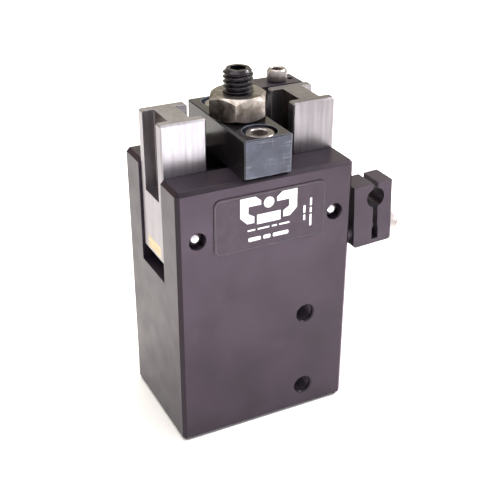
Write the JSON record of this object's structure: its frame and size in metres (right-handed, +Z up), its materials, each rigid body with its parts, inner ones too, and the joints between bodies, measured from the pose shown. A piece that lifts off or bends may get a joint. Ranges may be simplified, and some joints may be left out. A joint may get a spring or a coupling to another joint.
{
  "type": "pneumatic gripper",
  "caption": "Angular pneumatic gripper: black block body, upright slotted steel jaws on dowel pins, cross bridge with travel stop screw, air ports and sensor clamps.",
  "frame": {"origin": "centre of the body's bottom face, on the bore axis", "axes": "+Z up along the bore towards the jaws; -Y is the face with the air ports and nameplate; jaws swing in the XZ plane"},
  "size_m": [0.068, 0.0355, 0.0988],
  "materials": {
    "black_anodised": "satin black anodised",
    "clamp_black": "satin black anodised",
    "zinc_steel": "bright zinc plated",
    "nut_steel": "dull zinc plated",
    "hard_steel": "ground",
    "jaw_steel": "surface ground",
    "dark_steel": "hardened, machined",
    "black_oxide": "oiled black oxide",
    "plain_aluminium": "turned",
    "black_rubber": "matt",
    "wear_plastic": "natural",
    "bronze": "machined",
    "label_film": "printed satin film"
  },
  "bodies": {
    "housing": {"body_block": "black_anodised", "bridge": "black_anodised", "bridge_screws": "zinc_steel", "lock_nut": "nut_steel", "left_pivot_pin": "hard_steel", "right_pivot_pin": "hard_steel", "end_cap": "plain_aluminium", "end_cap_seal": "black_rubber", "end_bumper": "black_rubber", "retaining_ring": "black_oxide", "rod_bushing": "bronze", "rod_seal": "black_rubber", "seal_retainer": "hard_steel", "nameplate": "label_film", "side_sensor_clamp": "clamp_black", "side_clamp_screw": "zinc_steel", "rear_sensor_clamp": "clamp_black", "rear_clamp_screw": "zinc_steel"},
    "piston_unit": {"piston": "plain_aluminium", "piston_seals": "black_rubber", "piston_wear_ring": "wear_plastic", "piston_nut": "zinc_steel", "piston_rod": "hard_steel", "rod_head": "dark_steel"},
    "left_finger": {"left_jaw": "jaw_steel", "left_jaw_bushing": "bronze", "left_jaw_shoe": "bronze"},
    "right_finger": {"right_jaw": "jaw_steel", "right_jaw_bushing": "bronze", "right_jaw_shoe": "bronze"},
    "travel_stop": {"stop_screw": "black_oxide"}
  },
  "joints": [
    {"name": "piston_slide", "type": "slide", "parent": "housing", "child": "piston_unit", "axis": [0, 0, 1], "range_m": [-0.00093, 0.00326]},
    {"name": "left_jaw_pivot", "type": "hinge", "parent": "housing", "child": "left_finger", "pos_m": [-0.0199, 0, 0.0616], "axis": [0, -1, 0], "range_deg": [-4, 14]},
    {"name": "right_jaw_pivot", "type": "hinge", "parent": "housing", "child": "right_finger", "pos_m": [0.0199, 0, 0.0616], "axis": [0, 1, 0], "range_deg": [-4, 14]},
    {"name": "stop_screw_travel", "type": "slide", "parent": "housing", "child": "travel_stop", "axis": [0, 0, 1], "range_m": [0, 0.004]}
  ],
  "couplings": [
    {"joint": "left_jaw_pivot", "follows": "piston_slide", "rad_per_m": 74.627},
    {"joint": "right_jaw_pivot", "follows": "piston_slide", "rad_per_m": 74.627}
  ]
}
